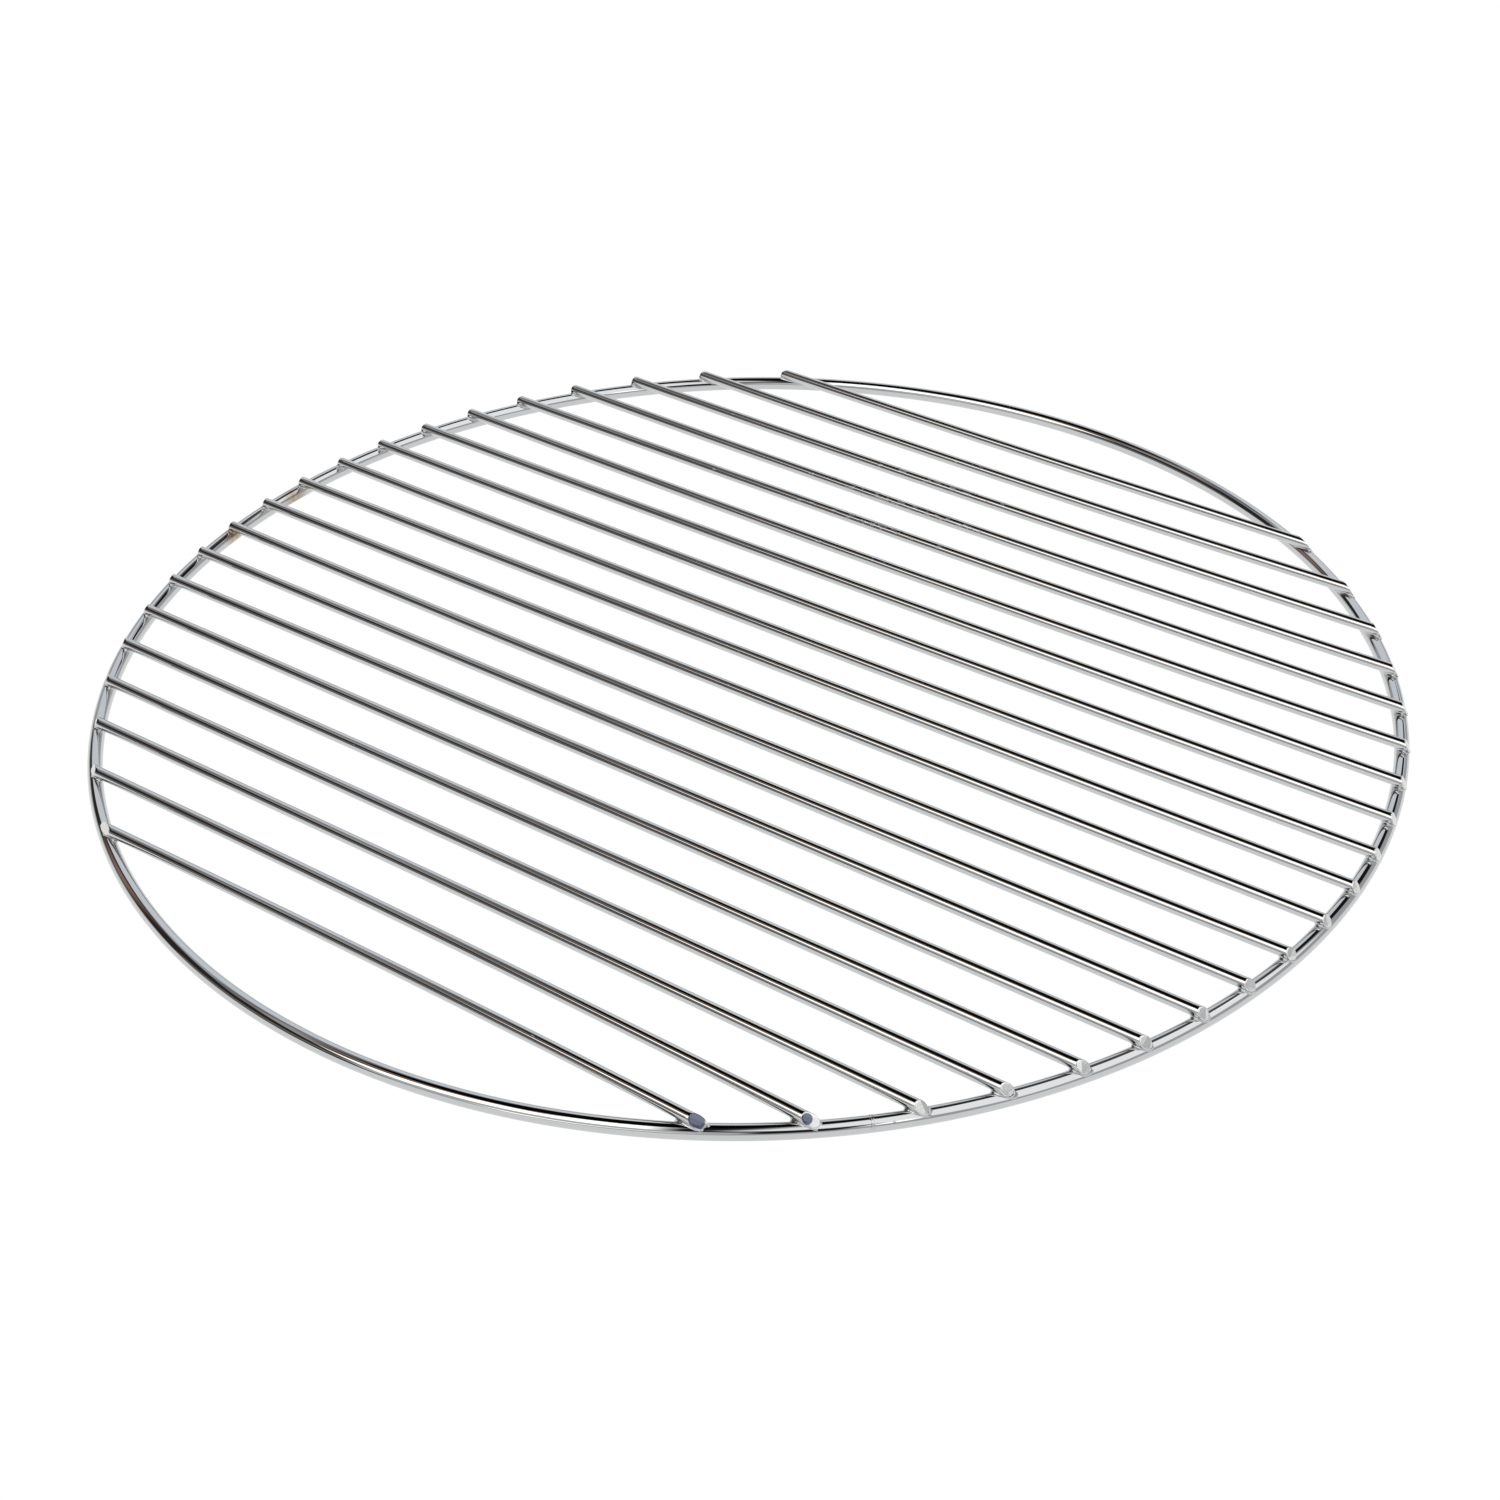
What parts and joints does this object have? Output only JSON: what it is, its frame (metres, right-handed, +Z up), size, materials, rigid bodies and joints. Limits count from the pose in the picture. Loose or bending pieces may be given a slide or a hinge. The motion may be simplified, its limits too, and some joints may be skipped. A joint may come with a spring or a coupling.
{
  "type": "cooling rack",
  "caption": "Round flat wire cooling rack: a closed wire rim with parallel rods welded across its top, trimmed flush with the rim.",
  "frame": {"origin": "middle of the rim, on the surface that the rack rests on", "axes": "+Z up, +X along the rods, +Y across them towards the far side"},
  "size_m": [0.35, 0.35, 0.0066],
  "materials": {
    "rim_chrome": "bright chrome plating over drawn steel wire",
    "rod_chrome": "bright chrome plating over drawn steel wire, satin on the ground ends",
    "weld_chrome": "chrome plating over resistance welds, slightly uneven, heat-tinted in places"
  },
  "bodies": {
    "root": {"rim": "rim_chrome", "rim_joint": "weld_chrome", "rod_01": "rod_chrome", "rod_02": "rod_chrome", "rod_03": "rod_chrome", "rod_04": "rod_chrome", "rod_05": "rod_chrome", "rod_06": "rod_chrome", "rod_07": "rod_chrome", "rod_08": "rod_chrome", "rod_09": "rod_chrome", "rod_10": "rod_chrome", "rod_11": "rod_chrome", "rod_12": "rod_chrome", "rod_13": "rod_chrome", "rod_14": "rod_chrome", "rod_15": "rod_chrome", "rod_16": "rod_chrome", "rod_17": "rod_chrome", "rod_18": "rod_chrome", "rod_19": "rod_chrome", "rod_20": "rod_chrome", "weld_01": "weld_chrome", "weld_02": "weld_chrome", "weld_03": "weld_chrome", "weld_04": "weld_chrome", "weld_05": "weld_chrome", "weld_06": "weld_chrome", "weld_07": "weld_chrome", "weld_08": "weld_chrome", "weld_09": "weld_chrome", "weld_10": "weld_chrome", "weld_11": "weld_chrome", "weld_12": "weld_chrome", "weld_13": "weld_chrome", "weld_14": "weld_chrome", "weld_15": "weld_chrome", "weld_16": "weld_chrome", "weld_17": "weld_chrome", "weld_18": "weld_chrome", "weld_19": "weld_chrome", "weld_20": "weld_chrome"}
  },
  "joints": []
}
